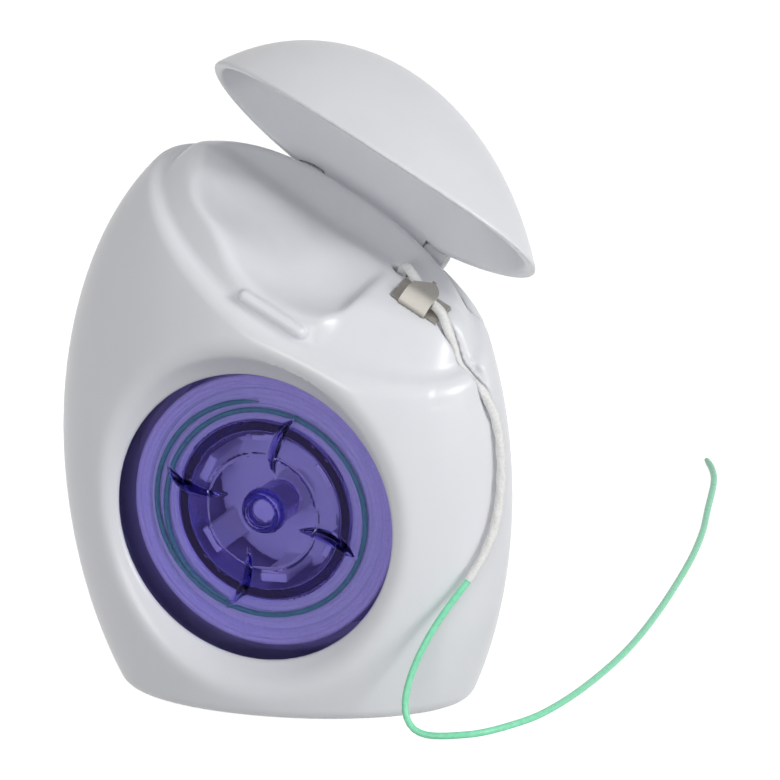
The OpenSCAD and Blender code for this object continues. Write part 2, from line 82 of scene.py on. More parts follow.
PRONGS, PRONG_ANGLE, PRONG_W, PRONG_T, PRONG_Y = 6, math.radians(31), 3.3, 1.1, PIN_TIP + 1.2
FIN_ANGLE, FIN_IN, FIN_OUT, FIN_BOW, FIN_HOLLOW = math.radians(67), 4.8, 12.6, 1.7, 0.6
FLOSS_D, THREADER_D = 1.1, 0.8
PACK_FRONT, PACK_BACK = FLANGE_BACK + 0.9, BACK_FLANGE - 0.05
CROWN_BACK = 14.5

# Scoop of the deck as three hollows, each with its centre and half axes, the horn at its left end, and the
# seat's front slope, all in the seam's frame
SCOOPS = [((-8.5, -4.6, 5.3), (8.3, 4.2, 4.2)), ((-1.5, -8.6, 4.6), (9.0, 6.6, 4.6)),
          ((4.0, -4.5, 4.8), (5.5, 5.2, 4.0))]
SEAT_EDGE_U = 6.3
HORN_U, HORN_RISE = -3.0, math.tan(math.radians(4))
SLOPE_AT, SLOPE_OUT = (7.0, -6.3, 2.7), (0.179, -0.530, 0.829)

# Sizes in mm that are the visual model's own: how closely the lid fits the lugs, the slack round the plate,
# the winding's reach past the pack, how thick its ridges are, the wound turns, and the soft dents
LUG_FIT, SEAT_GAP = 0.03, 0.08
PACK_EXTRA, PACK_PITCH, PACK_WAVE, PACK_LOOPS = 0.2, 0.62, 0.13, 10
TURNS_D = 0.62
GROOVE_DEPTH, NOTCH_DEPTH, LINE_DEPTH = 0.12, 0.08, 0.09

# Line beside the seat as (u, v), and the turns of threader as (angle in degrees, radius)
LINE_UV = [(15.9, 2.9), (16.5, 2.8), (17.5, 2.6), (18.4, 2.0), (19.1, 0.9), (19.8, -0.3), (20.6, -1.1),
           (21.4, -1.4)]
TURNS = [(91, 12.8), (120, 13.2), (150, 13.5), (180, 13.6), (205, 13.4), (225, 13.1), (250, 12.75),
         (270, 12.55), (315, 12.5), (360, 12.4), (405, 12.1), (451, 11.9), (500, 12.0), (540, 12.35),
         (565, 12.7), (585, 12.6), (605, 12.3)]

# Strength of the light that the background gives, for rays that show it and for the rest
FLOOR_LIFT, WORLD_LIGHT = 0.9, 0.37
LAMPS_AIM = (0, 0, 0.03)

# Routes of the floss, in mm: inside the case, free to the joint, and the stiff threader to its tip
FEED_ROUTE = [(16.9, 0.9, 24), (16.8, 1, 27.5), (16.2, 1.3, 32), (15.2, 1.8, 37), (13.9, 2.5, 41.5),
              (12.6, 3.1, 44.8), (12.9, 2.8, 47), (13.7, 2.3, 48.8), (14.5, 1.8, 50.1), (15.2, 1.3, 51.1),
              (16, 0.7, 51.4), (16.7, 0.1, 50.9), (17.4, -0.3, 50.2), (18.4, -0.9, 49.4),
              (19.4, -1.6, 48.6), (20.3, -2.1, 47.9)]
TAIL_ROUTE = [(20.3, -2.1, 47.9), (21.3, -2.4, 47.1), (21.7, -2.4, 45.8), (22.1, -2.3, 44.5),
              (22.4, -2.2, 43.2), (22.7, -2.2, 41.9), (23.2, -2.2, 40.8), (24.1, -2.1, 39.7),
              (25.2, -2, 38.6), (26.1, -1.9, 37.3), (26.8, -1.9, 35.8), (27.3, -2, 34), (27.6, -2.1, 31.5),
              (27.7, -2.4, 29), (27.6, -2.9, 26), (27.2, -3.8, 22.8), (26.3, -5.2, 19.8), (24.9, -7, 17)]
THREADER_ROUTE = [(24.9, -7, 17), (23.2, -8.7, 14.5), (21.6, -10.3, 11.8), (20.3, -11.6, 9),
                  (19.5, -12.7, 6.4), (19.2, -13.5, 4.2), (19.5, -14, 2.4), (20.4, -14.1, 1.1),
                  (21.8, -13.9, 0.5), (23.5, -13.6, 0.4), (25.4, -12.8, 0.4), (27.5, -11.3, 0.4),
                  (29.6, -8, 0.4), (31.4, -3.4, 0.4), (32.3, 3.8, 0.4), (32.4, 12.5, 0.4),
                  (31.9, 21.8, 0.4), (30.6, 32, 0.4), (28.6, 43.6, 0.4), (25.8, 57.2, 0.4), (23, 68, 0.4),
                  (20.2, 76.7, 0.4), (16.8, 87.2, 0.4), (14.6, 92.3, 0.4), (12.4, 96, 0.4)]


def make_camera():
    data = bpy.data.cameras.new("camera")
    cam = bpy.data.objects.new("camera", data)
    bpy.context.scene.collection.objects.link(cam)
    back = Vector((math.sin(AZ) * math.cos(EL), -math.cos(AZ) * math.cos(EL), math.sin(EL)))
    right = Vector((math.cos(AZ), math.sin(AZ), 0))
    up = back.cross(right)
    across = right * math.cos(ROLL) + up * math.sin(ROLL)
    upward = up * math.cos(ROLL) - right * math.sin(ROLL)
    turn = Matrix((across, upward, back)).transposed()
    cam.matrix_world = Matrix.Translation((AIM + back * DIST) * MM) @ turn.to_4x4()
    data.sensor_width = 36
    data.lens = data.sensor_width * DIST * PX_PER_MM / SIDE
    data.shift_x = (SIDE / 2 - AIM_PX[0]) / SIDE
    data.shift_y = (AIM_PX[1] - SIDE / 2) / SIDE
    data.clip_start, data.clip_end = 0.05, 20
    bpy.context.scene.camera = cam


# Materials
def new_material(name):
    mat = bpy.data.materials.new(name)
    mat.use_nodes = True
    nt = mat.node_tree
    return mat, nt, nt.nodes["Principled BSDF"]


def noise(nt, scale, detail=3.0, rough=0.5, stretch=(1, 1, 1)):
    """Noise in object space, scale in cycles per metre."""
    place = nt.nodes.new("ShaderNodeTexCoord")
    mapping = nt.nodes.new("ShaderNodeMapping")
    mapping.inputs["Scale"].default_value = stretch
    tex = nt.nodes.new("ShaderNodeTexNoise")
    tex.inputs["Scale"].default_value = scale
    tex.inputs["Detail"].default_value = detail
    tex.inputs["Roughness"].default_value = rough
    nt.links.new(place.outputs["Object"], mapping.inputs["Vector"])
    nt.links.new(mapping.outputs["Vector"], tex.inputs["Vector"])
    return tex.outputs["Fac"]


def ramp(nt, value, low, high):
    node = nt.nodes.new("ShaderNodeValToRGB")
    node.color_ramp.elements[0].position, node.color_ramp.elements[1].position = 0.35, 0.65
    node.color_ramp.elements[0].color, node.color_ramp.elements[1].color = low, high
    nt.links.new(value, node.inputs["Fac"])
    return node.outputs["Color"]


def span(nt, value, low, high):
    node = nt.nodes.new("ShaderNodeMapRange")
    node.inputs["From Min"].default_value, node.inputs["From Max"].default_value = 0.3, 0.7
    node.inputs["To Min"].default_value, node.inputs["To Max"].default_value = low, high
    nt.links.new(value, node.inputs["Value"])
    return node.outputs["Result"]


def bump(nt, shader, height, distance, strength=1.0, below=None):
    node = nt.nodes.new("ShaderNodeBump")
    node.inputs["Distance"].default_value = distance
    node.inputs["Strength"].default_value = strength
    nt.links.new(height, node.inputs["Height"])
    if below is not None:
        nt.links.new(below, node.inputs["Normal"])
    nt.links.new(node.outputs["Normal"], shader.inputs["Normal"])
    return node.outputs["Normal"]


def white_plastic():
    """Polypropylene: milky, softly glossy, with flow marks and a fine grain."""
    mat, nt, bsdf = new_material("white_plastic_moulded")
    flow = noise(nt, 90, 4, 0.55, (1, 1, 0.35))
    grain = noise(nt, 2600, 2)
    tint = ramp(nt, flow, (0.772, 0.782, 0.815, 1), (0.795, 0.805, 0.838, 1))
    nt.links.new(tint, bsdf.inputs["Base Color"])
    nt.links.new(span(nt, noise(nt, 420, 4), 0.28, 0.31), bsdf.inputs["Roughness"])
    bsdf.inputs["IOR"].default_value = 1.49
    bsdf.inputs["Subsurface Weight"].default_value = 0.5
    bsdf.inputs["Subsurface Radius"].default_value = (1.0, 0.97, 0.94)
    bsdf.inputs["Subsurface Scale"].default_value = 0.0015
    soft = bump(nt, bsdf, flow, 0.0002, 0.5)
    bump(nt, bsdf, grain, 0.000012, 0.6, soft)
    return mat


def clear_purple():
    """Clear polystyrene, tinted through its depth, which lets lamps reach what is behind it."""
    mat, nt, bsdf = new_material("clear_purple_moulded")
    bsdf.inputs["Base Color"].default_value = (0.63, 0.62, 0.64, 1)
    bsdf.inputs["Specular Tint"].default_value = (0.4, 0.3, 1, 1)
    bsdf.inputs["Specular IOR Level"].default_value = 0.2
    bsdf.inputs["Transmission Weight"].default_value = 1
    bsdf.inputs["IOR"].default_value = 1.5
    nt.links.new(span(nt, noise(nt, 300, 4), 0.02, 0.07), bsdf.inputs["Roughness"])
    bump(nt, bsdf, noise(nt, 260, 3), 0.00012, 0.5)
    clear = nt.nodes.new("ShaderNodeBsdfTransparent")
    clear.inputs["Color"].default_value = (0.97, 0.97, 1, 1)
    path = nt.nodes.new("ShaderNodeLightPath")
    mix = nt.nodes.new("ShaderNodeMixShader")
    out = nt.nodes["Material Output"]
    nt.links.new(path.outputs["Is Shadow Ray"], mix.inputs["Fac"])
    nt.links.new(bsdf.outputs["BSDF"], mix.inputs[1])
    nt.links.new(clear.outputs["BSDF"], mix.inputs[2])
    nt.links.new(mix.outputs["Shader"], out.inputs["Surface"])
    depth = nt.nodes.new("ShaderNodeVolumeAbsorption")
    depth.inputs["Color"].default_value = (0.34, 0.26, 0.95, 1)
    depth.inputs["Density"].default_value = 620
    nt.links.new(depth.outputs["Volume"], out.inputs["Volume"])
    return mat


def brushed_steel():
    mat, nt, bsdf = new_material("steel_brushed")
    streaks = noise(nt, 900, 5, 0.6, (1, 1, 14))
    tint = ramp(nt, streaks, (0.44, 0.42, 0.385, 1), (0.50, 0.475, 0.44, 1))
    nt.links.new(tint, bsdf.inputs["Base Color"])
    nt.links.new(span(nt, streaks, 0.56, 0.64), bsdf.inputs["Roughness"])
    bsdf.inputs["Metallic"].default_value = 1
    bump(nt, bsdf, streaks, 0.00001, 0.25)
    return mat


def waxed_fibre(name, low, high):
    """Twisted multifilament floss with a dull wax."""
    mat, nt, bsdf = new_material(name)
    strands = noise(nt, 3200, 4, 0.6)
    nt.links.new(ramp(nt, strands, low, high), bsdf.inputs["Base Color"])
    nt.links.new(span(nt, strands, 0.45, 0.67), bsdf.inputs["Roughness"])
    bsdf.inputs["Sheen Weight"].default_value = 0.4
    bsdf.inputs["Sheen Roughness"].default_value = 0.5
    bump(nt, bsdf, strands, 0.00005, 0.8)
    return mat


def threader_nylon(name, low, high):
    mat, nt, bsdf = new_material(name)
    marks = noise(nt, 1500, 3)
    nt.links.new(ramp(nt, marks, low, high), bsdf.inputs["Base Color"])
    nt.links.new(span(nt, marks, 0.26, 0.4), bsdf.inputs["Roughness"])
    bsdf.inputs["Subsurface Weight"].default_value = 0.3
    bsdf.inputs["Subsurface Radius"].default_value = (0.5, 1.0, 0.7)
    bsdf.inputs["Subsurface Scale"].default_value = 0.0006
    bump(nt, bsdf, marks, 0.00001, 0.6)
    return mat


# Meshes
def make_piece(name, points, faces, mat, body, nodes, slot, normals=None):
    """A piece from points in mm that rides on a body and stands for CAD nodes."""
    mesh = bpy.data.meshes.new(name)
    mesh.from_pydata((np.asarray(points, float) * MM).tolist(), [], [list(map(int, f)) for f in faces])
    mesh.validate()
    mesh.polygons.foreach_set("use_smooth", [True] * len(mesh.polygons))
    obj = bpy.data.objects.new(name, mesh)
    bpy.context.scene.collection.objects.link(obj)
    if normals is None:
        mesh.set_sharp_from_angle(angle=math.radians(40))
    else:
        mesh.normals_split_custom_set_from_vertices(np.asarray(normals).tolist())
    mesh.materials.append(mat)
    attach(obj, body)
    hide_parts(*nodes)
    return obj


def skin_of(values, low, step):
    """Surface net of a grid of distances: one point in each cell that the surface crosses."""
    inside = values < 0
    corner = [inside[i:inside.shape[0] - 1 + i, j:inside.shape[1] - 1 + j, k:inside.shape[2] - 1 + k]
              for i in (0, 1) for j in (0, 1) for k in (0, 1)]
    count = sum(c.astype(np.int8) for c in corner)
    cells = np.argwhere((count > 0) & (count < 8))
    index = np.full(count.shape, -1, np.int64)
    index[tuple(cells.T)] = np.arange(len(cells))
    total, crossings = np.zeros((len(cells), 3)), np.zeros(len(cells))
    for axis in range(3):
        others = [a for a in range(3) if a != axis]
        for s in (0, 1):
            for t in (0, 1):
                start = np.zeros(3, int)
                start[others[0]], start[others[1]] = s, t
                end = start.copy()
                end[axis] = 1
                a = values[tuple((cells + start).T)]
                b = values[tuple((cells + end).T)]
                hit = (a < 0) != (b < 0)
                f = np.where(hit, a / np.where(hit, a - b, 1), 0)
                total[hit] += start + f[hit, None] * (end - start)
                crossings += hit
    points = (cells + total / crossings[:, None]) * step + low
    faces = []
    for axis in range(3):
        one, two = [(1, 2), (2, 0), (0, 1)][axis]
        ends = [slice(1, -1)] * 3
        first, second = list(ends), list(ends)
        first[axis], second[axis] = slice(0, -1), slice(1, None)
        a, b = inside[tuple(first)], inside[tuple(second)]
        for sign in (True, False):
            at = np.argwhere((a != b) & (a == sign))
            shift = np.ones(3, int)
            shift[axis] = 0
            at = at + shift
            quad = []
            for d1, d2 in ((-1, -1), (0, -1), (0, 0), (-1, 0)):
                c = at.copy()
                c[:, one] += d1
                c[:, two] += d2
                quad.append(index[tuple(c.T)])
            quad = np.stack(quad, 1)
            faces.append(quad if sign else quad[:, ::-1])
    return points, np.concatenate(faces)


def slopes(solid, points, reach=0.02):
    """Distance at points and its direction of steepest rise."""
    grad = np.empty_like(points)
    for axis in range(3):
        off = np.zeros(3)
        off[axis] = reach
        grad[:, axis] = (solid((points + off).T) - solid((points - off).T)) / (2 * reach)
    return solid(points.T), grad


def settle(solid, points, rounds=3):
    """Moves points onto the exact surface and returns their normals too."""
    for _ in range(rounds):
        value, grad = slopes(solid, points)
        size = np.maximum((grad**2).sum(1), 0.2)
        points = points - np.clip(value / size, -0.15, 0.15)[:, None] * grad
    grad = slopes(solid, points)[1]
    return points, grad / np.maximum(np.linalg.norm(grad, axis=1), 1e-9)[:, None]


def thin_out(points, faces, keep):
    """Fewer triangles where the surface is calm."""
    mesh = bpy.data.meshes.new("thinning")
    mesh.from_pydata(points.tolist(), [], faces.tolist())
    obj = bpy.data.objects.new("thinning", mesh)
    bpy.context.scene.collection.objects.link(obj)
    obj.modifiers.new("thin", "DECIMATE").ratio = keep
    done = obj.evaluated_get(bpy.context.evaluated_depsgraph_get()).to_mesh()
    out = np.empty(len(done.vertices) * 3)
    done.vertices.foreach_get("co", out)
    done.calc_loop_triangles()
    tris = np.empty(len(done.loop_triangles) * 3, np.int64)
    done.loop_triangles.foreach_get("vertices", tris)
    bpy.data.objects.remove(obj)
    bpy.data.meshes.remove(mesh)
    return out.reshape(-1, 3), tris.reshape(-1, 3)


def moulded(name, solid, low, high, step, mat, body, nodes, slot, keep, turn=None):
    """A moulded piece: the skin of a solid inside a box, turned into place."""
    low, high = np.array(low, float) - 2 * step, np.array(high, float) + 2 * step
    counts = np.ceil((high - low) / step).astype(int) + 1
    axes = [(low[i] + step * np.arange(counts[i])).astype(np.float32) for i in range(3)]
    values = np.empty(counts, np.float32)
    slab = max(1, int(1_500_000 / (counts[1] * counts[2])))
    for start in range(0, counts[0], slab):
        grid = np.meshgrid(axes[0][start:start + slab], axes[1], axes[2], indexing="ij")
        values[start:start + slab] = solid(grid)
    points, faces = skin_of(values, low, step)
    points = settle(solid, points, 2)[0]
    points, faces = thin_out(points, faces, keep)
    points, normals = settle(solid, points, 2)
    if turn is not None:
        points, normals = points @ turn[:3, :3].T + turn[:3, 3], normals @ turn[:3, :3].T
    return make_piece(name, points, faces, mat, body, nodes, slot, normals)


# Solids by distance
def either(a, b, k=0.0):
    """Union with a fillet of about k."""
    return -both(-a, -b, k)


def both(a, b, k=0.0):
    """Intersection with its edge rounded over about k."""
    top = np.maximum(a, b)
    return top if k == 0 else top + np.maximum(k - np.abs(a - b), 0) ** 2 / (4 * k)


def without(a, b, k=0.0):
    return both(a, -b, k)


def ellipsoid(p, centre, radii):
    d = [(p[i] - centre[i]) / radii[i] for i in range(3)]
    k0 = np.sqrt(d[0] ** 2 + d[1] ** 2 + d[2] ** 2)
    k1 = np.sqrt((d[0] / radii[0]) ** 2 + (d[1] / radii[1]) ** 2 + (d[2] / radii[2]) ** 2)
    return k0 * (k0 - 1) / np.maximum(k1, 1e-6)


def egg(p, inset=0.0):
    height = np.where(p[2] > BELLY, CROWN, ROOT) - inset
    return ellipsoid(p, (0, 0, BELLY), (HALF_W - inset, HALF_D - inset, height))


def block(p, low, high):
    return np.maximum.reduce([np.maximum(low[i] - p[i], p[i] - high[i]) for i in range(3)])


def to_seam(p):
    d = [p[i] - SEAM_MID[i] for i in range(3)]
    return [d[0] * a[0] + d[1] * a[1] + d[2] * a[2] for a in (AX_U, AX_V, AX_N)]


def from_seam(u, v, n):
    return SEAM_MID + u * AX_U + v * AX_V + n * AX_N


def arch(s):
    """Height over the arched seam."""
    return np.hypot(s[1], s[2] + SEAM_R) - SEAM_R


def chain(p, points, radius):
    """A round bar along straight runs from point to point."""
    best = None
    for a, b in zip(points[:-1], points[1:]):
        a, ab = np.array(a, float), np.array(b, float) - np.array(a, float)
        d = [p[i] - a[i] for i in range(3)]
        t = np.clip((d[0] * ab[0] + d[1] * ab[1] + d[2] * ab[2]) / (ab @ ab), 0, 1)
        far = (d[0] - t * ab[0]) ** 2 + (d[1] - t * ab[1]) ** 2 + (d[2] - t * ab[2]) ** 2
        best = far if best is None else np.minimum(best, far)
    return np.sqrt(best) - radius


def only_near(p, low, high, shape):
    """The value of a shape inside a box, and nan outside it."""
    near = np.ones(np.shape(p[0]), bool)
    for i in range(3):
        near &= (p[i] > low[i]) & (p[i] < high[i])
    out = np.full(np.shape(p[0]), np.nan, np.float64)
    if near.any():
        out[near] = shape([c[near] for c in p])
    return out


def smooth_step(x):
    x = np.clip(x, 0, 1)
    return x * x * (3 - 2 * x)


def hinge_bar(s, radius, u0, u1):
    across = np.hypot(s[1] - HINGE_V, s[2] - HINGE_N) - radius
    return np.maximum(across, np.maximum(u0 - s[0], s[0] - u1))


def neck(p, s):
    """The raised neck that the closed lid goes over, with its scoop and seat."""
    u, v, n = s
    ridge = NECK_H + HORN_RISE * np.maximum(HORN_U - u, 0)
    top = ridge - (NECK_H - SHELF_H + 0.4) * smooth_step((v - 0.2) / 3.6) + 0.5 * smooth_step((v - 4) / 5)
    body = both(egg(p, NECK_IN), n - top, 1.6)
    hollows = [ellipsoid(s, centre, half) for centre, half in SCOOPS]
    scoop = either(either(hollows[0], hollows[1], 2.2), hollows[2], 2.2)
    scoop = both(scoop, u - SEAT_EDGE_U, 0.8)
    body = without(body, scoop, 1.5)
    slope = sum((s[i] - SLOPE_AT[i]) * SLOPE_OUT[i] for i in range(3))
    body = without(body, both(-slope, 5.5 - u, 2.0), 0.8)
    return np.maximum(body, -(arch(s) + DECK_T))


def deck_features(p, s, body):
    ends = [(LATCH_U + side * LATCH_L / 2, LATCH_V, LATCH_N) for side in (-1, 1)]
    latch = chain(s, ends, LATCH_R)
    body = either(body, latch, 0.5)
    for u0 in (-HINGE_L / 2, HINGE_L / 2 - LUG_L):
        lug = hinge_bar(s, KNUCKLE_R, u0, u0 + LUG_L)
        root = block(s, (u0, HINGE_V - 4, HINGE_N - KNUCKLE_R), (u0 + LUG_L, HINGE_V, HINGE_N + 0.25))
        body = either(body, either(lug, root, 0.2), 0.3)
    boss = both(block(p, (20.4, -4.4, 34), (28.4, 0, 43)), both(egg(p, 0.7), arch(s) + 1, 0.1), 0.2)
    body = either(body, boss)
    body = without(body, hinge_bar(s, KNUCKLE_R + LID_GAP, -KNUCKLE_L / 2 - 0.15, KNUCKLE_L / 2 + 0.15), 0.2)
    body = without(body, hinge_bar(s, TRUNNION_R + FIT, -HINGE_L / 2 - 1, HINGE_L / 2 + 1), 0.1)
    hole = np.hypot(s[0] - EXIT_HOLE[0], s[1] - EXIT_HOLE[1]) - EXIT_R
    body = without(body, np.maximum(hole, -6 - s[2]), 0.5)
    seat = block(s, (PLATE_U - SEAT_GAP, PLATE_V - SEAT_GAP, NECK_H - PLATE_T),
                 (PLATE_U + PLATE_L + SEAT_GAP, PLATE_V + PLATE_W + SEAT_GAP, 9))
    slot = block(s, (PLATE_U + TAB_U, PLATE_V - PLATE_T - 0.05, NECK_H - PLATE_T),
                 (PLATE_U + TAB_U + TAB_W, PLATE_V, 9))
    body = without(body, np.minimum(seat, slot), 0.15)
    tail = [np.array(q, float) for q in TAIL_ROUTE[1:11]]
    outward = [np.array([0, 0, 0]), np.array([0.9, 0, 0.5])]
    way = np.minimum.reduce([chain(p, [q + o for q in tail], 0.8) for o in outward])
    body = without(body, way, 0.7)
    c, t = math.cos(TILT), math.sin(TILT)
    across, up = p[0] - 21.6, (p[1] + 4.6) * t + (p[2] - 41) * c
    front = smooth_step((-6 - p[1]) / 2)
    groove = GROOVE_DEPTH * bell(across / 0.6) * within(up, 0, 7) * front
    notch = NOTCH_DEPTH * within(p[0], 21.9, 24, 0.8) * within(p[2], 37.6, 42.6, 0.8) * front
    aside = chain([s[0], s[1], np.zeros(np.shape(p[0]))], [(a, b, 0) for a, b in LINE_UV], 0)
    line = LINE_DEPTH * bell(aside / 0.4) * (s[2] > -1)
    return body + groove + notch + line


def bell(x):
    return np.exp(-(x**2))


def within(x, low, high, edge=0.5):
    """1 between two values and 0 outside them, with soft steps."""
    return smooth_step((x - low) / edge + 0.5) * smooth_step((high - x) / edge + 0.5)


def window_bore(p):
    """The window's bore, which widens behind a narrow front edge."""
    depth = np.clip((p[1] + WIN_Y - BORE_EDGE) / (LIP_BACK + WIN_Y - BORE_EDGE), 0, 1)
    return np.hypot(p[0], p[2] - WIN_Z) - WIN_R - BORE_FLARE * depth


def front_plain(p):
    """The front shell before its deck is detailed."""
    s = to_seam(p)
    over = arch(s)
    ball = np.sqrt(p[0] ** 2 + (p[1] - DISH_Y) ** 2 + (p[2] - WIN_Z) ** 2)
    body = both(egg(p), over, 0.8)
    body = both(body, -p[2], 1.6)
    body = both(body, p[1] - PARTING, 0.25)
    body = both(body, DISH_R - ball, 1.8)
    hollow = both(both(egg(p, FRONT_WALL), BASE_WALL - p[2], 1), over + DECK_T, 1)
    hollow = both(hollow, DISH_R + FRONT_WALL - ball, 0.6)
    body = without(body, hollow, 0.15)
    body = without(body, window_bore(p), 0.3)
    deck = both(both(egg(p, 1.3), over, 0.2), -(over + DECK_T), 0.2)
    return either(np.minimum(body, deck), neck(p, s), 0.5)


def front_shell(p):
    body = front_plain(p)
    detailed = only_near(p, (-14, -17, 34), (30, 17, 66),
                         lambda q: deck_features(q, to_seam(q), front_plain(q)))
    return np.where(np.isnan(detailed), body, detailed)


def rear_cover(p):
    s = to_seam(p)
    over = arch(s)
    body = both(both(egg(p), over, 0.5), -p[2], 1.6)
    body = both(body, PARTING - p[1], 0.25)
    body = without(body, both(egg(p, REAR_WALL), BASE_WALL - p[2], 1), 0.15)
    ring = both(both(egg(p, FRONT_WALL + 0.1), BASE_WALL + 0.1 - p[2]), 3 - p[1], 0.1)
    ring = np.minimum(ring, both(both(egg(p, 0.6), 0.75 - p[2]), PARTING - p[1]))
    ring = both(both(ring, p[1] - 7), over + DECK_T + LID_GAP)
    ring = without(ring, both(egg(p, 2.2), 2.3 - p[2], 1), 0.1)
    body = np.minimum(body, ring)
    body = either(body, crown(p), 0.2)
    body = without(body, hinge_bar(s, KNUCKLE_R + LID_GAP, -HINGE_L / 2 - 0.3, HINGE_L / 2 + 0.3), 0.2)
    for u0 in (-HINGE_L / 2, HINGE_L / 2 - LUG_L):
        room = block(s, (u0 - 0.15, HINGE_V - 4.15, HINGE_N - KNUCKLE_R - 0.15),
                     (u0 + LUG_L + 0.15, HINGE_V + 0.15, HINGE_N + 0.4))
        body = without(body, room, 0.1)
    return body


def crown(p):
    """The disc on a post inside the spool, its prongs that reach forward, its legs and the spool's pin."""
    across = np.hypot(p[0], p[2] - WIN_Z)
    body = np.maximum(across - PIN_R, np.maximum(PIN_TIP - p[1], p[1] - SHOULDER_Y - 1))
    body = np.minimum(body, np.maximum(across - HUB_R, np.maximum(SHOULDER_Y - p[1], p[1] - CROWN_BACK)))
    body = either(body, both(across - DISC_R, np.abs(p[1] - DISC_Y - DISC_T / 2) - DISC_T / 2, 0.2), 0.3)
    for i in range(PRONGS):
        a = PRONG_ANGLE + i * 2 * math.pi / PRONGS
        along = p[0] * math.cos(a) + (p[2] - WIN_Z) * math.sin(a)
        side = -p[0] * math.sin(a) + (p[2] - WIN_Z) * math.cos(a)
        q = [along, p[1], side]
        outer = DISC_R - 0.3
        prong = block(q, (outer - PRONG_T, PRONG_Y, -PRONG_W / 2), (outer, DISC_Y + DISC_T / 2, PRONG_W / 2))
        body = either(body, prong, 0.25)
        if i % 2 == 0:
            leg = block(q, (0, DISC_Y + DISC_T / 2, -DISC_T / 2), (DISC_R - 2, CROWN_BACK, DISC_T / 2))
            body = np.minimum(body, leg)
    return np.maximum(body, egg(p, 0.6))


def closed_lid(p):
    s = to_seam(p)
    body = both(egg(p), 0.1 - arch(s), 0.7)
    body = without(body, egg(p, LID_WALL), 0.35)
    pocket = block(s, (LATCH_U - 5.1, -30, -1.3), (LATCH_U + 5.1, LATCH_V + 1.3, 1.55))
    body = without(body, np.maximum(pocket, egg(p, LID_WALL - 0.7)), 0.3)
    for u0, u1 in ((-HINGE_L / 2 - 0.05, -KNUCKLE_L / 2), (KNUCKLE_L / 2, HINGE_L / 2 + 0.05)):
        body = without(body, hinge_bar(s, KNUCKLE_R + LUG_FIT, u0, u1), 0.05)
    body = either(body, both(hinge_bar(s, KNUCKLE_R, -99, 99), np.abs(s[0]) - KNUCKLE_L / 2, 0.3), 0.4)
    half = KNUCKLE_L / 2 + LUG_L - LID_GAP
    return either(body, both(hinge_bar(s, TRUNNION_R, -99, 99), np.abs(s[0]) - half, 0.2), 0.1)


def hinge_turn(angle):
    """Opens the lid by an angle about its hinge."""
    at = from_seam(0, HINGE_V, HINGE_N)
    turn = np.array(Matrix.Rotation(-angle, 3, Vector(AX_U)))
    out = np.eye(4)
    out[:3, :3] = turn
    out[:3, 3] = at - turn @ at
    return out


def fin(p, angle):
    """A curved blade that rises from the flange and thins towards its edge."""
    a = p[0] * math.cos(angle) + (p[2] - WIN_Z) * math.sin(angle)
    b = -p[0] * math.sin(angle) + (p[2] - WIN_Z) * math.cos(angle)
    mid, half = (FIN_IN + FIN_OUT) / 2, (FIN_OUT - FIN_IN) / 2
    big = (half**2 + FIN_BOW**2) / (2 * FIN_BOW)
    flat = (half**2 + FIN_HOLLOW**2) / (2 * FIN_HOLLOW)
    outer = np.hypot(a - mid, b - FIN_BOW + big) - big
    inner = flat - np.hypot(a - mid, b - FIN_HOLLOW + flat)
    proud = FLANGE_FRONT - p[1]
    blade = both(outer + 0.22 * np.maximum(proud, 0), inner + 0.12 * np.maximum(proud, 0), 0.2)
    crest = FIN_H * np.sqrt(np.clip(1 - ((a - mid) / (half + 0.3)) ** 2, 0, 1))
    return np.maximum(both(blade, 0.8 * (proud - crest), 0.3), -0.5 - proud)


def spool_front(p):
    across = np.hypot(p[0], p[2] - WIN_Z)
    disc = both(across - SPOOL_R, np.abs(p[1] - (FLANGE_FRONT + FLANGE_BACK) / 2) - FLANGE_T / 2, 0.3)
    tube = np.maximum(np.abs(across - CORE_R + CORE_WALL / 2) - CORE_WALL / 2,
                      np.maximum(FLANGE_FRONT + 0.2 - p[1], p[1] - BACK_FLANGE))
    hub = np.maximum(across - HUB_R, np.maximum(FLANGE_FRONT + 0.2 - p[1], p[1] - SHOULDER_Y + 0.3))
    ring = both(across - HUB_RING_R, FLANGE_FRONT - 0.4 - p[1], 0.25)
    body = either(disc, np.maximum(ring, p[1] - FLANGE_BACK), 0.25)
    body = either(either(body, tube, 0.5), hub, 0.4)
    bore = np.maximum(across - PIN_R - FIT, FLANGE_BACK - 0.05 - p[1])
    body = without(body, bore, 0.1)
    cup = np.maximum(across - HUB_RING_R + 0.55, p[1] - FLANGE_FRONT + 0.1)
    body = without(body, cup, 0.2)
    body = either(body, chain(p, [(0, FLANGE_FRONT, WIN_Z), (0, FLANGE_FRONT + 0.05, WIN_Z)], 0.45), 0.2)
    for i in range(4):
        body = either(body, fin(p, FIN_ANGLE + i * math.pi / 2), 0.3)
    groove = np.hypot(across - 6.9, p[1] - FLANGE_FRONT) - 0.18
    return without(body, groove, 0.08)


# Tubes along a line
def smooth_line(route, step):
    """Points about a step apart on a smooth curve through a route."""
    r = [np.array(q, float) for q in route]
    out = []
    for i in range(len(r) - 1):
        a, b, c, d = r[max(i - 1, 0)], r[i], r[i + 1], r[min(i + 2, len(r) - 1)]
        n = max(2, round(np.linalg.norm(c - b) / step))
        for t in np.arange(n) / n:
            out.append(0.5 * (2 * b + (c - a) * t + (2 * a - 5 * b + 4 * c - d) * t**2
                              + (3 * b - 3 * c + d - a) * t**3))
    return np.array(out + [r[-1]])


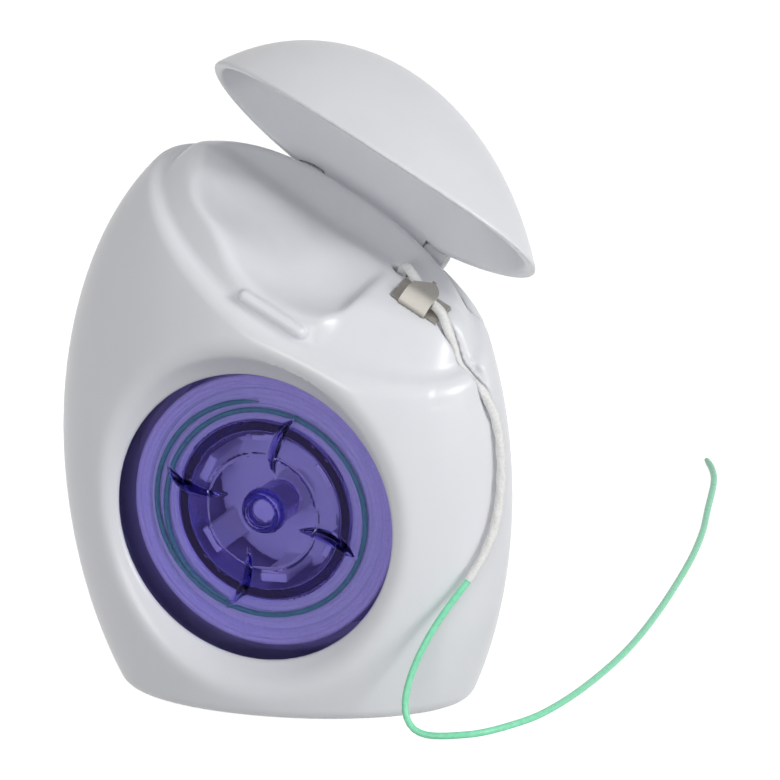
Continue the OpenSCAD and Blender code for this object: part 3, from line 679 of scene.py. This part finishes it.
def tube(line, radius, sides=16, ridges=0, depth=0.0, twist=0.0, tip=0.0):
    """Points and faces of a closed tube. radius may change along it, and ridges twist round it."""
    line = np.asarray(line, float)
    n = len(line)
    ahead = np.gradient(line, axis=0)
    ahead /= np.linalg.norm(ahead, axis=1)[:, None]
    side = np.cross(ahead[0], (0, 0, 1.0) if abs(ahead[0][2]) < 0.9 else (1.0, 0, 0))
    run = np.concatenate([[0], np.cumsum(np.linalg.norm(np.diff(line, axis=0), axis=1))])
    radius = np.broadcast_to(radius, n)
    points = []
    for i in range(n):
        side = side - (side @ ahead[i]) * ahead[i]
        side /= np.linalg.norm(side)
        other = np.cross(ahead[i], side)
        a = np.arange(sides) * 2 * math.pi / sides
        wave = 1 + depth * np.cos(ridges * a + twist * run[i]) if ridges else np.ones(sides)
        r = radius[i] * wave[:, None]
        points.append(line[i] + r * (np.cos(a)[:, None] * side + np.sin(a)[:, None] * other))
    points = np.concatenate(points)
    faces = []
    for i in range(n - 1):
        for k in range(sides):
            j = (k + 1) % sides
            faces.append([i * sides + k, i * sides + j, (i + 1) * sides + j, (i + 1) * sides + k])
    ends = np.array([line[0] - tip * ahead[0], line[-1] + tip * ahead[-1]])
    points = np.concatenate([points, ends])
    for k in range(sides):
        j = (k + 1) % sides
        faces.append([n * sides, j, k])
        faces.append([n * sides + 1, (n - 1) * sides + k, (n - 1) * sides + j])
    return points, faces


def joined(parts):
    """One list of points and faces from several."""
    points, faces, first = [], [], 0
    for p, f in parts:
        points.append(np.asarray(p, float))
        faces += [[first + q for q in face] for face in f]
        first += len(p)
    return np.concatenate(points), faces


def lathe(profile, segments):
    """A closed ring from points (radius, y) turned about the spool's axis."""
    prof = np.array(profile, float)
    n = len(prof)
    a = np.arange(segments) * 2 * math.pi / segments
    points = np.stack([prof[None, :, 0] * np.cos(a)[:, None], np.broadcast_to(prof[:, 1], (segments, n)),
                       WIN_Z + prof[None, :, 0] * np.sin(a)[:, None]], -1).reshape(-1, 3)
    faces = []
    for i in range(segments):
        j = (i + 1) % segments
        for k in range(n):
            m = (k + 1) % n
            faces.append([i * n + k, j * n + k, j * n + m, i * n + m])
    return points, faces


def make_shells(white):
    moulded("shell_front", front_shell, (-HALF_W, -HALF_D, 0), (HALF_W, 12, 67), 0.3, white, "case",
            ["front_shell"], "white_plastic", keep=0.35)
    moulded("cover_rear", rear_cover, (-HALF_W, PIN_TIP, 0), (HALF_W, HALF_D, 64), 0.33, white, "case",
            ["rear_cover"], "white_plastic", keep=0.3)
    moulded("flip_lid", closed_lid, (-HALF_W, -HALF_D, 36), (HALF_W, HALF_D, 69), 0.3, white, "lid",
            ["lid"], "white_plastic", keep=0.35, turn=hinge_turn(LID_OPEN))


def make_spool(purple):
    moulded("spool_clear", spool_front, (-SPOOL_R, FLANGE_FRONT - FIN_H, WIN_Z - SPOOL_R),
            (SPOOL_R, BACK_FLANGE, WIN_Z + SPOOL_R), 0.25, purple, "spool", ["spool_front"], "clear_purple",
            keep=0.35)


def make_winding(mat):
    """The wound floss: a face of many turns towards the flange under a helical outer layer."""
    rng = np.random.default_rng(7)
    inner, under, outer = CORE_R + 0.05, PACK_R - FLOSS_D * 0.8, PACK_R + PACK_EXTRA
    radii = np.arange(inner, outer, PACK_PITCH / 8)
    lift = PACK_WAVE * np.abs(np.sin(np.pi * (radii - inner) / PACK_PITCH)) ** 0.6
    uneven = np.interp(radii, np.arange(inner, inner + 8), rng.uniform(0, 0.04, 8))
    heights = PACK_FRONT + 0.2 - lift - uneven - 0.72 * smooth_step((radii - 13.9) / 1.1)
    rim = [(outer, PACK_FRONT - 0.35), (outer, PACK_FRONT + 0.1), (under, PACK_FRONT + 0.5),
           (under, PACK_BACK)]
    core = lathe(list(zip(radii, heights)) + rim + [(inner, PACK_BACK)], 144)
    turns = np.arange(PACK_LOOPS * 60 + 1) / 60
    climb = (PACK_BACK - PACK_FRONT - FLOSS_D) / PACK_LOOPS
    r = PACK_R - FLOSS_D / 2 + 0.04 * np.sin(turns * 11)
    line = np.stack([r * np.cos(2 * math.pi * turns), PACK_FRONT + FLOSS_D / 2 + climb * turns,
                     WIN_Z + r * np.sin(2 * math.pi * turns)], 1)
    strand = tube(line, FLOSS_D / 2, 12, ridges=3, depth=0.06, twist=3)
    make_piece("floss_wound", *joined([core, strand]), mat, "spool", ["floss_winding"], "floss")


def make_turns(mat):
    """Turns of the threader that lie between the flange and the wound floss."""
    a = np.linspace(TURNS[0][0], TURNS[-1][0], 211)
    r = np.interp(a, [turn[0] for turn in TURNS], [turn[1] for turn in TURNS])
    r = np.convolve(np.pad(r, 8, "edge"), np.ones(17) / 17, "valid")
    thick = TURNS_D / 2 * np.minimum(1, 0.35 + 0.65 * np.minimum(a - a[0], a[-1] - a) / 14)
    a = np.radians(a)
    y = FLANGE_BACK + 0.45 + 0.06 * np.sin(a / 2)
    line = np.stack([r * np.cos(a), y, WIN_Z + r * np.sin(a)], 1)
    make_piece("threader_wound", *tube(line, thick, 12, tip=0.15), mat, "spool", ["threader_turns"],
               "threader")


def sheet_strip(path, left, right, thickness, levels):
    """Sheet metal bent along a path in the v-n plane, from left(s) to right(s) along u."""
    path = np.array(path, float)
    ahead = np.gradient(path, axis=0)
    ahead /= np.linalg.norm(ahead, axis=1)[:, None]
    out = np.stack([-ahead[:, 1], ahead[:, 0]], 1)
    points, faces = [], []
    rows = len(path)
    for i in range(rows):
        for half in (-0.5, 0.5):
            v, n = path[i] + out[i] * thickness * half
            for f in levels:
                u = left[i] + (right[i] - left[i]) * f
                points.append(from_seam(u, v, n))
    cols = len(levels)
    for i in range(rows - 1):
        a, b = 2 * i * cols, 2 * (i + 1) * cols
        for k in range(cols - 1):
            faces.append([a + k, b + k, b + k + 1, a + k + 1])
            faces.append([a + cols + k, a + cols + k + 1, b + cols + k + 1, b + cols + k])
        faces.append([a, a + cols, b + cols, b])
        k = cols - 1
        faces.append([a + k, b + k, b + cols + k, a + cols + k])
    for k in range(cols - 1):
        faces.append([k, k + 1, cols + k + 1, cols + k])
        a = 2 * (rows - 1) * cols
        faces.append([a + k, a + cols + k, a + cols + k + 1, a + k + 1])
    return points, faces


def make_cutter(steel):
    """A stamped plate with a tab that is folded up in front and bent back over the floss."""
    mid_n = NECK_H - PLATE_T / 2
    levels = np.linspace(0, 1, 7)
    rows = np.linspace(PLATE_V, PLATE_V + PLATE_W, 5)
    plate = sheet_strip([(v, mid_n) for v in rows], [PLATE_U] * 5, [PLATE_U + PLATE_L] * 5, PLATE_T, levels)
    front, top = PLATE_V - PLATE_T / 2, NECK_H + TAB_LIFT + PLATE_T / 2
    fold = NECK_H + TAB_FOLD + PLATE_T / 2
    rise = top - fold
    path = [(front, mid_n - 0.1), (front, mid_n + 0.3), (front + 0.03, fold - 0.12), (front + 0.12, fold)]
    path += [(front + 0.12 + rise * f, fold + rise * (f + 0.12 * math.sin(math.pi * f)))
             for f in (0.15, 0.35, 0.55, 0.75, 0.9)]
    path += [(front + w, top + 0.04 * math.sin(w)) for w in (1.4, 1.8, 2.3, 2.7, 3.1, 3.5, 3.8, 4.0)]
    left0, right0 = PLATE_U + TAB_U, PLATE_U + TAB_U + TAB_W
    left, right = [], []
    for v, _ in path:
        w = v - (PLATE_V - PLATE_T)
        left.append(left0 + (0.2 * w / 2.4 if w < 2.4 else 0.2 + (w - 2.4) * 1.25))
        right.append(right0 - (0 if w < 2.6 else 0.7 * (w - 2.6) / 1.1 + max(0, w - 3.5) * 1.2))
    tab = sheet_strip(path, left, right, PLATE_T, levels)
    obj = make_piece("floss_cutter", *joined([plate, tab]), steel, "case", ["cutter"], "steel")
    edge = obj.modifiers.new("edges", "BEVEL")
    edge.width, edge.segments, edge.limit_method = 0.00005, 2, "ANGLE"


def make_floss(floss, green):
    feed = smooth_line(FEED_ROUTE, 0.35)
    make_piece("floss_inside", *tube(feed, FLOSS_D / 2, 15, 3, 0.08, 2.2), floss, "case", ["floss_feed"],
               "floss")
    tail = smooth_line(TAIL_ROUTE, 0.35)
    run = np.linspace(0, 1, len(tail))
    thin = FLOSS_D / 2 * (1 - 0.16 * smooth_step((run - 0.8) / 0.2) + 0.04 * np.sin(run * 60))
    piece = make_piece("floss_free", *tube(tail, thin, 15, 3, 0.08, 2.2), floss, "case", ["floss_tail"],
                       "floss")
    line = smooth_line(THREADER_ROUTE, 0.8)
    run = np.linspace(0, 1, len(line))
    thick = THREADER_D / 2 * (1 - 0.25 * smooth_step((run - 0.985) / 0.015))
    piece = make_piece("threader_stiff", *tube(line, thick, 16, tip=0.1), green, "case", ["threader"],
                       "threader")


# Stage and light
def seen_white(nt):
    """1 for rays that show the background: camera, glossy and transmission rays."""
    path = nt.nodes.new("ShaderNodeLightPath")
    first = nt.nodes.new("ShaderNodeMath")
    second = nt.nodes.new("ShaderNodeMath")
    first.operation = second.operation = "MAXIMUM"
    nt.links.new(path.outputs["Is Camera Ray"], first.inputs[0])
    nt.links.new(path.outputs["Is Glossy Ray"], first.inputs[1])
    nt.links.new(first.outputs[0], second.inputs[0])
    nt.links.new(path.outputs["Is Transmission Ray"], second.inputs[1])
    return second.outputs[0]


def make_floor():
    half = 3.0
    mesh = bpy.data.meshes.new("floor")
    mesh.from_pydata([(-half, -half, 0), (half, -half, 0), (half, half, 0), (-half, half, 0)], [],
                     [(0, 1, 2, 3)])
    obj = bpy.data.objects.new("floor", mesh)
    bpy.context.scene.collection.objects.link(obj)
    mat, nt, bsdf = new_material("floor_white")
    bsdf.inputs["Base Color"].default_value = (0.5, 0.5, 0.5, 1)
    bsdf.inputs["Roughness"].default_value = 1
    bsdf.inputs["Specular IOR Level"].default_value = 0
    bsdf.inputs["Emission Color"].default_value = (1, 1, 1, 1)
    lift = nt.nodes.new("ShaderNodeMath")
    lift.operation = "MULTIPLY"
    lift.inputs[1].default_value = FLOOR_LIFT
    nt.links.new(seen_white(nt), lift.inputs[0])
    nt.links.new(lift.outputs[0], bsdf.inputs["Emission Strength"])
    mesh.materials.append(mat)


def make_world():
    world = bpy.data.worlds.new("studio")
    bpy.context.scene.world = world
    world.use_nodes = True
    nt = world.node_tree
    back = nt.nodes["Background"]
    back.inputs["Color"].default_value = (1, 1, 1, 1)
    mix = nt.nodes.new("ShaderNodeMix")
    mix.inputs["A"].default_value, mix.inputs["B"].default_value = WORLD_LIGHT, 1
    nt.links.new(seen_white(nt), mix.inputs["Factor"])
    nt.links.new(mix.outputs["Result"], back.inputs["Strength"])


def area_light(name, place, size, watts):
    data = bpy.data.lights.new(name, "AREA")
    data.shape, data.size, data.energy = "DISK", size, watts
    obj = bpy.data.objects.new(name, data)
    bpy.context.scene.collection.objects.link(obj)
    obj.location = place
    obj.rotation_euler = (Vector(LAMPS_AIM) - Vector(place)).to_track_quat("-Z", "Y").to_euler()


def make_lights():
    area_light("key", (1.08, -0.2, 0.4), 0.5, 6.8)
    area_light("fill", (0.15, -1.25, 0.2), 0.7, 5.2)


make_camera()
floss = waxed_fibre("floss_waxed", (0.74, 0.74, 0.73, 1), (0.86, 0.86, 0.85, 1))
green = threader_nylon("threader_nylon", (0.23, 0.74, 0.46, 1), (0.28, 0.82, 0.53, 1))
make_floss(floss, green)
white = white_plastic()
purple = clear_purple()
make_shells(white)
make_spool(purple)
make_winding(floss)
# The wound turns take a darker copy of the green nylon: painted shade for turns that lie in shade behind the
# clear purple flange
make_turns(threader_nylon("threader_nylon_wound_painted_shade", (0.04, 0.38, 0.17, 1), (0.07, 0.46, 0.22, 1)))
make_cutter(brushed_steel())
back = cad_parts["spool_back"]
back.data.materials.clear()
back.data.materials.append(purple)
make_floor()
make_world()
make_lights()
bpy.context.scene.view_settings.view_transform = "Standard"
